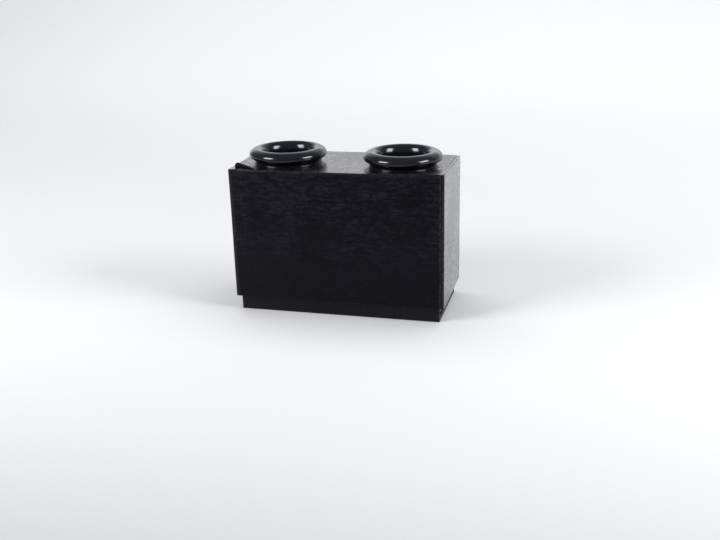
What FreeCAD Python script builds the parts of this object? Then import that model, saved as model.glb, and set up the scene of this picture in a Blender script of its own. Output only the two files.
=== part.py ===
import FreeCAD, Part
import os
from math import atan2, cos, degrees, radians, sin, sqrt

# Box-type stereo viewer for 45 x 107 mm glass slides. A lens box telescopes down over a slide box.
# Millimetres, +Z up. X runs along the pair of eyepieces, -Y is the front.
# The origin is the middle of the footprint, on the surface that the slide box stands on.

# Lens box, outside
LENS_BOX_WIDTH = 114.8
LENS_BOX_DEPTH = 52.0
LENS_BOX_BOTTOM = 8.2
LENS_BOX_HEIGHT = 71.0
COVERING = 0.3
OUTER_BOARD = 1.2
LENS_BOARD = 3.0
SIDE_TURNOVER = 1.8
TOP_TURNOVER = 0.9

# Sliding fit between the two boxes
BOX_GAP = 0.55
FELT = 0.4
FELT_HEIGHT = 12.0
FELT_ABOVE_EDGE = 1.0
FELT_END_MARGIN = 7.0

# Slide box
INNER_HEIGHT = 55.0
PAPER = 0.2
PAPER_FLOOR_GAP = 0.3
INNER_BOARD = 1.1
RAIL_HEIGHT = 1.2
RAIL_WIDTH = 3.0
GROUND_GLASS = 1.5
GLASS_PLAY = 0.1
SLOT_HEIGHT = 4.4
MASK = 0.8
GUIDE_RAIL = 3.0
WINDOW_WIDTH = 38.0
WINDOW_DEPTH = 39.0

# Light partition and corner blocks under the lens board
PARTITION = 1.2
PARTITION_BOTTOM = 20.5
PARTITION_GROOVE = 1.0
PARTITION_DEPTH = 44.4
CORNER_BLOCK = 6.0
PUSH_IN_TRAVEL = 7.0
STOP_GAP = 0.3

# Eyepieces
EYE_SPACING = 63.5
EYE_Y = -2.2
SPIGOT_RADIUS = 14.0
SPIGOT_PLAY = 0.05
SPIGOT_LENGTH = 6.0
FOOT_RADIUS = 18.3
FOOT_HEIGHT = 0.5
NECK_MIDDLE = (18.7, 2.1)
RIM_RADIUS = 20.95
RIM_HEIGHT = 4.6
RIM_ROUNDING = 2.4
RIM_UNDERSIDE_ANGLE = -35.0
CREST_RADIUS = 16.4
CREST_HEIGHT = 7.85
LIP_ROUNDING = 3.1
LIP_END_ANGLE = 152.0
FUNNEL_ROUNDING = 6.5
BOWL_FLOOR = 0.6
BOWL_FILLET = 0.9
THROAT_RADIUS = 11.0
LENS_SEAT = 1.2
LENS_BORE_RADIUS = 12.1
LENS_RADIUS = 12.0
LENS_SURFACE_RADIUS = 78.0
LENS_EDGE = 1.4
LENS_RING_HEIGHT = 1.2
LENS_RING_WIDTH = 1.1
LENS_RING_SPLIT = 1.5
NUT_RADIUS = 17.5
NUT_HEIGHT = 2.2
NUT_NOTCH = 2.0
NUT_NOTCH_DEPTH = 1.4
SEAT_PLAY = 0.02

# Worked out from the sizes above
OUTER_X = LENS_BOX_WIDTH / 2
OUTER_Y = LENS_BOX_DEPTH / 2
TOP = LENS_BOX_BOTTOM + LENS_BOX_HEIGHT
BOARD_TOP = TOP - COVERING
BOARD_X = OUTER_X - COVERING
BOARD_Y = OUTER_Y - COVERING
OUTER_CAVITY_X = BOARD_X - OUTER_BOARD
OUTER_CAVITY_Y = BOARD_Y - OUTER_BOARD
LENS_BOARD_BOTTOM = BOARD_TOP - LENS_BOARD
PAPER_X = OUTER_CAVITY_X - BOX_GAP
PAPER_Y = OUTER_CAVITY_Y - BOX_GAP
INNER_X = PAPER_X - PAPER
INNER_Y = PAPER_Y - PAPER
CAVITY_X = INNER_X - INNER_BOARD
CAVITY_Y = INNER_Y - INNER_BOARD
GLASS_TOP = RAIL_HEIGHT + GROUND_GLASS
SLOT_TOP = GLASS_TOP + SLOT_HEIGHT
MASK_TOP = SLOT_TOP + MASK
SIDES = {"left": -1, "right": 1}
FACES = {"front": -1, "back": 1}


def block(x0, x1, y0, y1, z0, z1):
    """A rectangular solid between three pairs of coordinates."""
    lengths = (abs(x1 - x0), abs(y1 - y0), abs(z1 - z0))
    corner = FreeCAD.Vector(min(x0, x1), min(y0, y1), min(z0, z1))
    return Part.makeBox(*lengths, corner)


def belt(x_out, y_out, thickness, z0, z1):
    """A rectangular band round the Z axis."""
    outside = block(-x_out, x_out, -y_out, y_out, z0, z1)
    x_in = x_out - thickness
    y_in = y_out - thickness
    return outside.cut(block(-x_in, x_in, -y_in, y_in, z0, z1))


def drum(x, y, radius, z0, z1):
    """A vertical cylinder."""
    return Part.makeCylinder(radius, z1 - z0, FreeCAD.Vector(x, y, z0))


def section_point(radius, height):
    """A point of a turned piece's section, in the XZ plane."""
    return FreeCAD.Vector(radius, 0, height)


def line(start, end):
    return Part.LineSegment(section_point(*start), section_point(*end)).toShape()


def arc(start, middle, end):
    return Part.Arc(section_point(*start), section_point(*middle), section_point(*end)).toShape()


def turned(edges, x, y, z):
    """The closed section revolved about Z, then placed with its zero height at z."""
    section = Part.Face(Part.Wire(edges))
    solid = section.revolve(FreeCAD.Vector(0, 0, 0), FreeCAD.Vector(0, 0, 1), 360)
    solid.translate(FreeCAD.Vector(x, y, z))
    return solid


def eye_x(side):
    return SIDES[side] * EYE_SPACING / 2


def circle_point(centre, radius, angle):
    """A point of a section's round part, by its angle up from the outward direction."""
    turn = radians(angle)
    return (centre[0] + radius * cos(turn), centre[1] + radius * sin(turn))


def round_part(centre, radius, start, end):
    """The arc of a section about a centre, between two angles."""
    middle = (start + end) / 2
    return arc(*(circle_point(centre, radius, angle) for angle in (start, middle, end)))


def lens_sag(radius):
    """How far a lens surface has fallen from its vertex at that radius."""
    return LENS_SURFACE_RADIUS - sqrt(LENS_SURFACE_RADIUS ** 2 - radius ** 2)


def eyecup(side):
    """Turned eyecup: rounded rim, waisted neck, foot bead, bowl, and a spigot through the lens board."""
    foot = FOOT_RADIUS - FOOT_HEIGHT / 2
    foot_bottom = (foot, 0)
    foot_edge = (FOOT_RADIUS, FOOT_HEIGHT / 2)
    foot_top = (foot, FOOT_HEIGHT)
    rim_centre = (RIM_RADIUS - RIM_ROUNDING, RIM_HEIGHT)
    rim_start = circle_point(rim_centre, RIM_ROUNDING, RIM_UNDERSIDE_ANGLE)
    # The crown meets the rim's round edge without a corner, and is level at the crest
    rise = CREST_HEIGHT - RIM_HEIGHT
    reach = rim_centre[0] - CREST_RADIUS
    crown_rounding = (rise ** 2 + reach ** 2 - RIM_ROUNDING ** 2) / (2 * (rise - RIM_ROUNDING))
    crown_centre = (CREST_RADIUS, CREST_HEIGHT - crown_rounding)
    crown_angle = degrees(atan2(crown_rounding - rise, reach))
    lip_centre = (CREST_RADIUS, CREST_HEIGHT - LIP_ROUNDING)
    funnel_centre = circle_point(lip_centre, LIP_ROUNDING - FUNNEL_ROUNDING, LIP_END_ANGLE)
    # The funnel ends upright, as the bowl's wall, and a fillet joins the wall to the bowl's floor
    funnel_end = circle_point(funnel_centre, FUNNEL_ROUNDING, 180)
    fillet_centre = (funnel_end[0] - BOWL_FILLET, BOWL_FLOOR + BOWL_FILLET)
    fillet_top = circle_point(fillet_centre, BOWL_FILLET, 0)
    fillet_bottom = circle_point(fillet_centre, BOWL_FILLET, -90)
    throat_top = (THROAT_RADIUS, BOWL_FLOOR)
    throat_bottom = (THROAT_RADIUS, -LENS_SEAT)
    seat = (LENS_BORE_RADIUS, -LENS_SEAT)
    bore_end = (LENS_BORE_RADIUS, -SPIGOT_LENGTH)
    spigot_end = (SPIGOT_RADIUS, -SPIGOT_LENGTH)
    spigot_root = (SPIGOT_RADIUS, 0)
    edges = [
        line(spigot_root, foot_bottom),
        arc(foot_bottom, foot_edge, foot_top),
        arc(foot_top, NECK_MIDDLE, rim_start),
        round_part(rim_centre, RIM_ROUNDING, RIM_UNDERSIDE_ANGLE, crown_angle),
        round_part(crown_centre, crown_rounding, crown_angle, 90),
        round_part(lip_centre, LIP_ROUNDING, 90, LIP_END_ANGLE),
        round_part(funnel_centre, FUNNEL_ROUNDING, LIP_END_ANGLE, 180),
        line(funnel_end, fillet_top),
        round_part(fillet_centre, BOWL_FILLET, 0, -90),
        line(fillet_bottom, throat_top),
        line(throat_top, throat_bottom),
        line(throat_bottom, seat),
        line(seat, bore_end),
        line(bore_end, spigot_end),
        line(spigot_end, spigot_root),
    ]
    return turned(edges, eye_x(side), EYE_Y, TOP)


def lens_edge_top():
    """Height of a lens's cylindrical edge below the top face, with the glass just clear of its seat."""
    rise_at_throat = lens_sag(LENS_RADIUS) - lens_sag(THROAT_RADIUS)
    return -LENS_SEAT - rise_at_throat - SEAT_PLAY


def lens(side):
    """Equal-sided convex lens, about 75 mm in focal length."""
    edge_top = lens_edge_top()
    edge_bottom = edge_top - LENS_EDGE
    half_radius = LENS_RADIUS / 2
    upper_vertex = edge_top + lens_sag(LENS_RADIUS)
    lower_vertex = edge_bottom - lens_sag(LENS_RADIUS)
    upper_middle = (half_radius, upper_vertex - lens_sag(half_radius))
    lower_middle = (half_radius, lower_vertex + lens_sag(half_radius))
    edges = [
        line((0, lower_vertex), (0, upper_vertex)),
        arc((0, upper_vertex), upper_middle, (LENS_RADIUS, edge_top)),
        line((LENS_RADIUS, edge_top), (LENS_RADIUS, edge_bottom)),
        arc((LENS_RADIUS, edge_bottom), lower_middle, (0, lower_vertex)),
    ]
    return turned(edges, eye_x(side), EYE_Y, TOP)


def lens_ring(side):
    """Split ring that springs into the bore under the lens."""
    inside = LENS_BORE_RADIUS - LENS_RING_WIDTH
    glass_at_ring = lens_sag(LENS_RADIUS) - lens_sag(inside)
    ring_top = TOP + lens_edge_top() - LENS_EDGE - glass_at_ring - SEAT_PLAY
    ring_bottom = ring_top - LENS_RING_HEIGHT
    x = eye_x(side)
    ring = drum(x, EYE_Y, LENS_BORE_RADIUS, ring_bottom, ring_top)
    ring = ring.cut(drum(x, EYE_Y, inside, ring_bottom, ring_top))
    half_split = LENS_RING_SPLIT / 2
    split = block(x - half_split, x + half_split, EYE_Y, EYE_Y + 2 * LENS_RADIUS, ring_bottom, ring_top)
    return ring.cut(split)


def eyecup_nut(side):
    """Round nut under the lens board that clamps the eyecup, with two wrench notches."""
    nut_top = LENS_BOARD_BOTTOM
    nut_bottom = nut_top - NUT_HEIGHT
    x = eye_x(side)
    nut = drum(x, EYE_Y, NUT_RADIUS, nut_bottom, nut_top)
    nut = nut.cut(drum(x, EYE_Y, SPIGOT_RADIUS, nut_bottom, nut_top))
    half_notch = NUT_NOTCH / 2
    for way in (-1, 1):
        rim = EYE_Y + way * (NUT_RADIUS + 1)
        root = EYE_Y + way * (NUT_RADIUS - NUT_NOTCH_DEPTH)
        nut = nut.cut(block(x - half_notch, x + half_notch, rim, root, nut_bottom, nut_top))
    return nut


def cut_eye_holes(shape):
    """Cuts the two holes that the eyecup spigots pass through."""
    for side in SIDES:
        hole = drum(eye_x(side), EYE_Y, SPIGOT_RADIUS + SPIGOT_PLAY, LENS_BOARD_BOTTOM, TOP)
        shape = shape.cut(hole)
    return shape


def lens_board():
    """Top board, with the two eye holes and a groove below for the light partition."""
    board = block(-OUTER_CAVITY_X, OUTER_CAVITY_X, -OUTER_CAVITY_Y, OUTER_CAVITY_Y,
                  LENS_BOARD_BOTTOM, BOARD_TOP)
    groove = block(-PARTITION / 2, PARTITION / 2, -PARTITION_DEPTH / 2, PARTITION_DEPTH / 2,
                   LENS_BOARD_BOTTOM, LENS_BOARD_BOTTOM + PARTITION_GROOVE)
    return cut_eye_holes(board.cut(groove))


def wall_board(face):
    """Front or back board of the lens box, over the full width."""
    way = FACES[face]
    return block(-BOARD_X, BOARD_X, way * OUTER_CAVITY_Y, way * BOARD_Y, LENS_BOX_BOTTOM, BOARD_TOP)


def end_board(side):
    """Left or right board of the lens box, between the front and back boards."""
    way = SIDES[side]
    return block(way * OUTER_CAVITY_X, way * BOARD_X, -OUTER_CAVITY_Y, OUTER_CAVITY_Y,
                 LENS_BOX_BOTTOM, BOARD_TOP)


def end_covering(side):
    """Leatherette on one end, with its edges turned over onto the front, the back and the top."""
    way = SIDES[side]
    turned_x = OUTER_X - SIDE_TURNOVER
    sheet = block(way * turned_x, way * OUTER_X, -OUTER_Y, OUTER_Y, LENS_BOX_BOTTOM, TOP)
    return sheet.cut(block(-BOARD_X, BOARD_X, -BOARD_Y, BOARD_Y, LENS_BOX_BOTTOM, BOARD_TOP))


def top_covering():
    """Leatherette on the top between the end coverings, turned down over the front and back edges."""
    x = OUTER_X - SIDE_TURNOVER
    sheet = block(-x, x, -OUTER_Y, OUTER_Y, TOP - TOP_TURNOVER, TOP)
    return cut_eye_holes(sheet.cut(block(-x, x, -BOARD_Y, BOARD_Y, LENS_BOX_BOTTOM, BOARD_TOP)))


def face_covering(face):
    """Leatherette panel on the front or back, between the turned-over edges of the other coverings."""
    way = FACES[face]
    x = OUTER_X - SIDE_TURNOVER
    return block(-x, x, way * BOARD_Y, way * OUTER_Y, LENS_BOX_BOTTOM, TOP - TOP_TURNOVER)


def light_partition():
    """Card between the two light paths, glued into the lens board's groove."""
    return block(-PARTITION / 2, PARTITION / 2, -PARTITION_DEPTH / 2, PARTITION_DEPTH / 2,
                 PARTITION_BOTTOM, LENS_BOARD_BOTTOM + PARTITION_GROOVE)


def corner_blocks():
    """Four glued blocks under the lens board. Their lower ends stop the slide box when it is pushed in."""
    bottom = INNER_HEIGHT + PUSH_IN_TRAVEL + STOP_GAP
    blocks = []
    for side in SIDES.values():
        for face in FACES.values():
            x_out = side * OUTER_CAVITY_X
            y_out = face * OUTER_CAVITY_Y
            x_in = x_out - side * CORNER_BLOCK
            y_in = y_out - face * CORNER_BLOCK
            blocks.append(block(x_in, x_out, y_in, y_out, bottom, LENS_BOARD_BOTTOM))
    return Part.makeCompound(blocks)


def felt_strip(name):
    """Felt inside the lens box's lower edge, rubbing on one side of the slide box."""
    bottom = LENS_BOX_BOTTOM + FELT_ABOVE_EDGE
    top = bottom + FELT_HEIGHT
    if name in FACES:
        way = FACES[name]
        half = OUTER_CAVITY_X - FELT_END_MARGIN
        wall = way * OUTER_CAVITY_Y
        return block(-half, half, wall, wall - way * FELT, bottom, top)
    way = SIDES[name]
    half = OUTER_CAVITY_Y - FELT_END_MARGIN
    wall = way * OUTER_CAVITY_X
    return block(wall, wall - way * FELT, -half, half, bottom, top)


def inner_wall_board(face):
    """Front or back board of the slide box, standing on the surface."""
    way = FACES[face]
    return block(-INNER_X, INNER_X, way * CAVITY_Y, way * INNER_Y, 0, INNER_HEIGHT)


def inner_end_board(side):
    """Left or right board of the slide box, which starts above the slide slot."""
    way = SIDES[side]
    return block(way * CAVITY_X, way * INNER_X, -CAVITY_Y, CAVITY_Y, SLOT_TOP, INNER_HEIGHT)


def end_sill(side):
    """Strip under one mouth of the slide slot, level with the ground glass."""
    way = SIDES[side]
    return block(way * CAVITY_X, way * INNER_X, -CAVITY_Y, CAVITY_Y, 0, GLASS_TOP)


def paper_wrap():
    """Black paper round the slide box, cut away at both mouths of the slide slot."""
    wrap = belt(PAPER_X, PAPER_Y, PAPER, PAPER_FLOOR_GAP, INNER_HEIGHT)
    slot = block(-OUTER_X, OUTER_X, -CAVITY_Y, CAVITY_Y, GLASS_TOP, SLOT_TOP)
    return wrap.cut(slot)


def glass_rail(face):
    """Strip along the bottom of the slide box that the ground glass lies on."""
    way = FACES[face]
    return block(-CAVITY_X, CAVITY_X, way * (CAVITY_Y - RAIL_WIDTH), way * CAVITY_Y, 0, RAIL_HEIGHT)


def ground_glass():
    """Frosted pane between the end sills, which lights the slide evenly from behind."""
    x = CAVITY_X - GLASS_PLAY
    y = CAVITY_Y - GLASS_PLAY
    return block(-x, x, -y, y, RAIL_HEIGHT, GLASS_TOP)


def picture_mask():
    """Card above the slide slot, with one window for each picture of the pair."""
    mask = block(-CAVITY_X, CAVITY_X, -CAVITY_Y, CAVITY_Y, SLOT_TOP, MASK_TOP)
    for side in SIDES:
        x0 = eye_x(side) - WINDOW_WIDTH / 2
        x1 = eye_x(side) + WINDOW_WIDTH / 2
        half = WINDOW_DEPTH / 2
        mask = mask.cut(block(x0, x1, -half, half, SLOT_TOP, MASK_TOP))
    return mask


def guide_rail(face):
    """Strip glued along the wall above the mask, which holds the mask flat against the slot."""
    way = FACES[face]
    return block(-CAVITY_X, CAVITY_X, way * (CAVITY_Y - GUIDE_RAIL), way * CAVITY_Y,
                 MASK_TOP, MASK_TOP + GUIDE_RAIL)


def build():
    """Every piece of the viewer by its node name."""
    parts = {
        "lens_board": lens_board(),
        "top_covering": top_covering(),
        "light_partition": light_partition(),
        "corner_blocks": corner_blocks(),
        "paper_wrap": paper_wrap(),
        "ground_glass": ground_glass(),
        "picture_mask": picture_mask(),
    }
    for face in FACES:
        parts[f"{face}_board"] = wall_board(face)
        parts[f"inner_{face}_board"] = inner_wall_board(face)
        parts[f"glass_rail_{face}"] = glass_rail(face)
        parts[f"guide_rail_{face}"] = guide_rail(face)
        parts[f"felt_{face}"] = felt_strip(face)
        parts[f"{face}_covering"] = face_covering(face)
    for side in SIDES:
        parts[f"{side}_board"] = end_board(side)
        parts[f"inner_{side}_board"] = inner_end_board(side)
        parts[f"end_sill_{side}"] = end_sill(side)
        parts[f"felt_{side}"] = felt_strip(side)
        parts[f"{side}_covering"] = end_covering(side)
        parts[f"eyecup_{side}"] = eyecup(side)
        parts[f"eyecup_nut_{side}"] = eyecup_nut(side)
        parts[f"lens_{side}"] = lens(side)
        parts[f"lens_ring_{side}"] = lens_ring(side)
    return parts


os.makedirs("parts", exist_ok=True)
for node, shape in build().items():
    if not shape.isValid():
        raise ValueError(f"{node} is not a valid shape")
    shape.exportStep(f"parts/{node}.step")
    print(f"{node}: {len(shape.Solids)} solid(s), {shape.Volume:.1f} mm3")
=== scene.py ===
import math

import bmesh
import bpy
from mathutils import Matrix, Vector, noise


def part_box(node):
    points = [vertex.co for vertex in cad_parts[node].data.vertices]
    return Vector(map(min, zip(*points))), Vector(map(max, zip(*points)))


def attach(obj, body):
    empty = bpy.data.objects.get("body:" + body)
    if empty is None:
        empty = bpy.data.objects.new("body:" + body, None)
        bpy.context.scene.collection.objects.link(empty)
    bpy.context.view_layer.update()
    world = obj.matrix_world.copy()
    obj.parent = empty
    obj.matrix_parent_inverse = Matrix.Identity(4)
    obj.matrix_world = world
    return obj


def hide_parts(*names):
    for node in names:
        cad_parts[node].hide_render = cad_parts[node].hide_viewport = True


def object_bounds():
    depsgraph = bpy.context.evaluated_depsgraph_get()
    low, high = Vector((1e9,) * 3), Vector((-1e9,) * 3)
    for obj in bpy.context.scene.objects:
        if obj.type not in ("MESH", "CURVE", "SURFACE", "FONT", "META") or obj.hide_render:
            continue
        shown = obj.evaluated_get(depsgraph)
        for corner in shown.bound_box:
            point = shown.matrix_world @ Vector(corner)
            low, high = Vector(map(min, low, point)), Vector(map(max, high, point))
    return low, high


# Looks of a box-type stereo viewer around its CAD frame. Lengths are metres, written as millimetres times MM.
MM = 0.001

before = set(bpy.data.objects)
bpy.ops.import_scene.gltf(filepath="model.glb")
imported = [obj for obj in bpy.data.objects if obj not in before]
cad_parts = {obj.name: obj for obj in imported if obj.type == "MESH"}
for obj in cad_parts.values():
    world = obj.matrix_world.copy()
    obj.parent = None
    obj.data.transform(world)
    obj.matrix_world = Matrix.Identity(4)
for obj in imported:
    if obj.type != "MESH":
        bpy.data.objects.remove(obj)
cad_low, cad_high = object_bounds()

LENS_BOX = "lens_box"
SLIDE_BOX = "slide_box"
SIDES = {"left": -1, "right": 1}
FACES = {"front": -1, "back": 1}

# The lens box's outside, from the frame
BOX_X = cad_high.x
BOX_Y = cad_high.y
BOX_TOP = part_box("top_covering")[1].z
BOX_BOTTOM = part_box("front_covering")[0].z
PANEL_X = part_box("front_covering")[1].x
PANEL_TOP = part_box("front_covering")[1].z
EYES = {side: sum(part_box(f"eyecup_{side}"), Vector()) / 2 for side in SIDES}


# ---------------------------------------------------------------- materials

class Material:
    """One material's node tree, with short calls for the nodes that the recipes below share."""

    def __init__(self, name):
        self.data = bpy.data.materials.new(name)
        self.data.use_nodes = True
        self.tree = self.data.node_tree
        self.shader = self.tree.nodes["Principled BSDF"]
        self.place = self.node("ShaderNodeTexCoord").outputs["Object"]

    def node(self, kind, **settings):
        made = self.tree.nodes.new(kind)
        for key, value in settings.items():
            setattr(made, key, value)
        return made

    def feed(self, socket, value):
        """Links an output to a socket, or sets the socket to a plain value."""
        if isinstance(value, bpy.types.NodeSocket):
            self.tree.links.new(value, socket)
        else:
            socket.default_value = value

    def scaled(self, scale):
        """The place on the piece with each axis multiplied, in cycles per metre."""
        made = self.node("ShaderNodeVectorMath", operation="MULTIPLY")
        self.feed(made.inputs[0], self.place)
        made.inputs[1].default_value = scale
        return made.outputs["Vector"]

    def noise(self, at, detail=4.0, rough=0.55, distortion=0.0, colour=False):
        made = self.node("ShaderNodeTexNoise")
        self.feed(made.inputs["Vector"], at)
        made.inputs["Scale"].default_value = 1.0
        made.inputs["Detail"].default_value = detail
        made.inputs["Roughness"].default_value = rough
        made.inputs["Distortion"].default_value = distortion
        return made.outputs["Color" if colour else "Fac"]

    def cells(self, at, feature="F1"):
        made = self.node("ShaderNodeTexVoronoi", feature=feature)
        self.feed(made.inputs["Vector"], at)
        made.inputs["Scale"].default_value = 1.0
        return made.outputs["Distance"]

    def warped(self, at, amount, swirl):
        """The vector at, pushed about by a colour noise of that amount."""
        centred = self.node("ShaderNodeVectorMath", operation="SUBTRACT")
        self.feed(centred.inputs[0], swirl)
        centred.inputs[1].default_value = (0.5, 0.5, 0.5)
        pushed = self.node("ShaderNodeVectorMath", operation="MULTIPLY_ADD")
        self.feed(pushed.inputs[0], centred.outputs["Vector"])
        pushed.inputs[1].default_value = (amount, amount, amount)
        self.feed(pushed.inputs[2], at)
        return pushed.outputs["Vector"]

    def math(self, operation, a, b):
        made = self.node("ShaderNodeMath", operation=operation)
        self.feed(made.inputs[0], a)
        self.feed(made.inputs[1], b)
        return made.outputs["Value"]

    def span(self, value, low, high, to_low=0.0, to_high=1.0):
        """Maps low..high smoothly onto to_low..to_high."""
        made = self.node("ShaderNodeMapRange", interpolation_type="SMOOTHSTEP")
        self.feed(made.inputs["Value"], value)
        made.inputs["From Min"].default_value = low
        made.inputs["From Max"].default_value = high
        made.inputs["To Min"].default_value = to_low
        made.inputs["To Max"].default_value = to_high
        return made.outputs["Result"]

    def mix(self, share, a, b):
        made = self.node("ShaderNodeMix", data_type="RGBA")
        self.feed(made.inputs["Factor"], share)
        self.feed(made.inputs["A"], (*a, 1) if isinstance(a, tuple) else a)
        self.feed(made.inputs["B"], (*b, 1) if isinstance(b, tuple) else b)
        return made.outputs["Result"]

    def attribute(self, name):
        return self.node("ShaderNodeAttribute", attribute_name=name).outputs["Fac"]

    def bump(self, height, depth, strength=1.0):
        made = self.node("ShaderNodeBump")
        self.feed(made.inputs["Height"], height)
        made.inputs["Distance"].default_value = depth
        made.inputs["Strength"].default_value = strength
        return made.outputs["Normal"]

    def finish(self, colour, roughness, normal=None, **uniform):
        """Wires the shader. The keyword values are uniform ones, set on the shader's own sockets."""
        self.feed(self.shader.inputs["Base Color"], colour)
        self.feed(self.shader.inputs["Roughness"], roughness)
        if normal is not None:
            self.feed(self.shader.inputs["Normal"], normal)
        for key, value in uniform.items():
            self.shader.inputs[key.replace("_", " ")].default_value = value
        return self.data


def leatherette(name, along):
    """Long-grain book cloth: wavy ridges along one axis, fine pebbling, wear from the mesh, painted shade
    towards the bottom, and a coat set per face as painted light.
    """
    m = Material(name)
    stretch = {"X": (0.42, 0.8, 1.0), "Y": (0.8, 0.42, 1.0), "top": (0.42, 1.0, 0.8)}[along]

    def grain(per_metre):
        return m.scaled(tuple(per_metre * share for share in stretch))

    swirl = m.noise(m.scaled((70, 70, 70)), detail=2.0, colour=True)
    ridges = m.noise(m.warped(grain(660), 2.6, swirl), detail=1.5, rough=0.5, distortion=0.6)
    ridges = m.span(ridges, 0.30, 0.70)
    creases = m.cells(m.warped(grain(820), 2.6, swirl), feature="DISTANCE_TO_EDGE")
    pebble = m.span(creases, 0.0, 0.25)
    streaks = m.noise(m.scaled(tuple(700 * share ** 2.2 for share in stretch)), detail=3.0)
    fibre = m.noise(m.scaled((5200, 5200, 5200)), detail=2.0)
    patches = m.noise(m.scaled((28, 28, 28)), detail=3.0)
    depth_here = m.span(patches, 0.35, 0.6, 0.45, 1.0)
    relief = m.math("ADD", m.math("MULTIPLY", ridges, 0.75), m.math("MULTIPLY", streaks, 0.5))
    relief = m.math("MULTIPLY", m.math("ADD", relief, m.math("MULTIPLY", pebble, 0.22)), depth_here)
    relief = m.math("ADD", relief, m.math("MULTIPLY", fibre, 0.05))
    normal = m.bump(relief, {"X": 0.085, "Y": 0.04, "top": 0.03}[along] * MM)

    wear = m.attribute("wear")
    scuff = m.noise(m.scaled((900, 900, 900)), detail=5.0, rough=0.65)
    worn = m.math("MULTIPLY", wear, m.span(scuff, 0.35, 0.62))
    height = m.math("MULTIPLY", m.span(relief, 0.25, 1.0), m.span(streaks, 0.25, 0.6))
    dye_and_painted_shade = m.mix(height, (0.0014, 0.0011, 0.0022), (0.0142, 0.0118, 0.0178))
    dye_and_painted_shade = m.mix(m.span(patches, 0.35, 0.65, 0.0, 0.35), dye_and_painted_shade, (0.0048, 0.0032, 0.0058))
    # Painted shade: from 54 mm down to 20 mm the cloth is painted towards almost black, patchily, as shade
    # over the lower part of the box.
    axes = m.node("ShaderNodeSeparateXYZ")
    m.feed(axes.inputs["Vector"], m.place)
    painted_low_shade = m.span(axes.outputs["Z"], 0.054, 0.020, 0.0, 0.9)
    painted_low_shade = m.math("MULTIPLY", painted_low_shade, m.span(patches, 0.2, 0.6, 0.6, 1.0))
    dye_and_painted_shade = m.mix(painted_low_shade, dye_and_painted_shade, (0.0016, 0.0011, 0.0022))
    colour = m.mix(m.math("MULTIPLY", worn, 0.5), dye_and_painted_shade, (0.054, 0.053, 0.055))
    dust = m.cells(m.scaled((620, 620, 620)))
    speck = m.math("MULTIPLY", m.span(dust, 0.10, 0.05), m.span(m.noise(m.scaled((90, 90, 90))), 0.5, 0.62))
    colour = m.mix(m.math("MULTIPLY", speck, 0.25), colour, (0.14, 0.13, 0.12))
    rough = m.span(relief, 0.3, 1.1, 0.36, 0.22)
    rough = m.math("ADD", rough, m.math("MULTIPLY", worn, 0.06))
    # Painted light: the same cloth gets a weaker coat on the front and back faces, which read darker, and a
    # stronger coat on the ends and top, which catch a brighter grazing reflection.
    painted_face_coat_ior = {"X": 1.10, "Y": 1.22, "top": 1.15}[along]
    return m.finish(colour, rough, normal, IOR=1.5, Specular_Tint=(0.10, 0.10, 0.14, 1.0), Coat_Weight=1.0,
                    Coat_IOR=painted_face_coat_ior, Coat_Roughness=0.22)


def backing():
    """Bare cloth backing and glue, seen where a corner of the covering has lifted."""
    m = Material("covering_backing")
    fibre = m.noise(m.scaled((2600, 2600, 2600)), detail=3.0)
    stain = m.noise(m.scaled((300, 300, 300)), detail=4.0)
    colour = m.mix(stain, (0.0030, 0.0026, 0.0034), (0.0085, 0.0070, 0.0066))
    return m.finish(colour, m.span(fibre, 0.3, 0.7, 0.7, 0.9), m.bump(fibre, 0.08 * MM), IOR=1.4,
                    Specular_Tint=(0.2, 0.2, 0.24, 1.0))


def ebonite():
    """Turned black ebonite, polished, with faint tool rings, handling haze and a little dust."""
    m = Material("ebonite")
    haze = m.noise(m.scaled((160, 160, 160)), detail=5.0, rough=0.6)
    scratches = m.noise(m.scaled((420, 3600, 900)), detail=3.0)
    rings = m.noise(m.scaled((60, 60, 5200)), detail=2.0)
    dust = m.cells(m.scaled((900, 900, 900)))
    speck = m.math("MULTIPLY", m.span(dust, 0.085, 0.04), m.span(haze, 0.52, 0.66))
    colour = m.mix(haze, (0.0040, 0.0042, 0.0056), (0.0066, 0.0068, 0.0082))
    colour = m.mix(m.math("MULTIPLY", speck, 0.35), colour, (0.12, 0.12, 0.12))
    rough = m.span(haze, 0.3, 0.75, 0.12, 0.18)
    rough = m.math("ADD", rough, m.math("MULTIPLY", speck, 0.3))
    height = m.math("ADD", m.math("MULTIPLY", rings, 0.5), m.math("MULTIPLY", scratches, 0.25))
    return m.finish(colour, rough, m.bump(height, 0.012 * MM), IOR=1.6, Specular_Tint=(0.66, 0.71, 0.84, 1.0))


def clear_glass():
    """Polished lens glass with a little dust and old fingerprints."""
    m = Material("lens_glass")
    film = m.noise(m.scaled((240, 240, 240)), detail=4.0, distortion=0.6)
    tint = m.mix(film, (0.93, 0.965, 0.95), (0.97, 0.985, 0.975))
    rough = m.span(film, 0.45, 0.75, 0.005, 0.05)
    return m.finish(tint, rough, m.bump(film, 0.004 * MM), Transmission_Weight=1.0, IOR=1.52)


def frosted_glass():
    """Finely ground glass."""
    m = Material("frosted_glass")
    ground = m.noise(m.scaled((6000, 6000, 6000)), detail=3.0)
    cloud = m.noise(m.scaled((45, 45, 45)), detail=4.0)
    tint = m.mix(cloud, (0.80, 0.84, 0.82), (0.90, 0.92, 0.91))
    rough = m.span(cloud, 0.3, 0.7, 0.5, 0.62)
    return m.finish(tint, rough, m.bump(ground, 0.03 * MM, 0.7), Transmission_Weight=0.85, IOR=1.52)


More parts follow.
